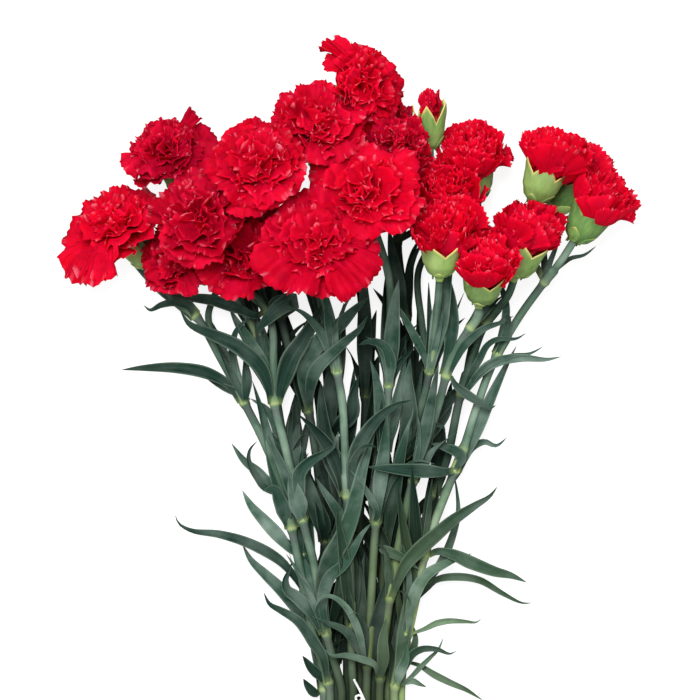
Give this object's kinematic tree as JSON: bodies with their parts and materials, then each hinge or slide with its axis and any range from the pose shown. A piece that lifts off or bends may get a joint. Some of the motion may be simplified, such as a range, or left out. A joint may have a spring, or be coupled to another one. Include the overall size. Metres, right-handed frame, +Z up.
{
  "type": "tied bunch of carnations",
  "caption": "Bunch of red spray carnations with ruffled open heads and half-open heads in green cups, on long jointed stems with narrow leaves, bound with thin white twine and lying down.",
  "frame": {"origin": "under the middle of the bunch's box, on the surface that it lies on", "axes": "+Y runs from the cut ends towards the flower heads, +Z is up out of the surface, +X is across the bunch, to the right of a viewer who looks down on it with the heads at the top"},
  "size_m": [0.3344, 0.5934, 0.1104],
  "materials": {
    "petals": "soft matt petals with serrated edges, brighter at the rims and deep crimson in the folds",
    "stems": "smooth waxy grey-green, paler yellow-green at the joints and on the cups",
    "leaves": "waxy blue-green with fine lengthwise veins",
    "tie": "white twisted twine"
  },
  "bodies": {
    "root": {"bloom_01": "petals", "bloom_02": "petals", "bloom_03": "petals", "bloom_04": "petals", "bloom_05": "petals", "bloom_06": "petals", "bloom_07": "petals", "bloom_08": "petals", "bloom_09": "petals", "bloom_10": "petals", "bloom_11": "petals", "bloom_12": "petals", "bloom_13": "petals", "bloom_14": "petals", "bloom_15": "petals", "bloom_16": "petals", "bloom_17": "petals", "bloom_18": "petals", "bloom_19": "petals", "bloom_20": "petals", "bloom_21": "petals", "leaf_01": "leaves", "leaf_02": "leaves", "leaf_03": "leaves", "leaf_04": "leaves", "leaf_05": "leaves", "leaf_06": "leaves", "leaf_07": "leaves", "leaf_08": "leaves", "leaf_09": "leaves", "leaf_10": "leaves", "leaf_11": "leaves", "leaf_12": "leaves", "leaf_13": "leaves", "leaf_14": "leaves", "leaf_15": "leaves", "leaf_16": "leaves", "leaf_17": "leaves", "leaf_18": "leaves", "leaf_19": "leaves", "leaf_20": "leaves", "leaf_21": "leaves", "leaf_22": "leaves", "leaf_23": "leaves", "leaf_24": "leaves", "leaf_25": "leaves", "stem_01": "stems", "stem_02": "stems", "stem_03": "stems", "stem_04": "stems", "stem_05": "stems", "stem_06": "stems", "stem_07": "stems", "stem_08": "stems", "stem_09": "stems", "stem_10": "stems", "stem_11": "stems", "stem_12": "stems", "stem_13": "stems", "tie": "tie"}
  },
  "joints": []
}
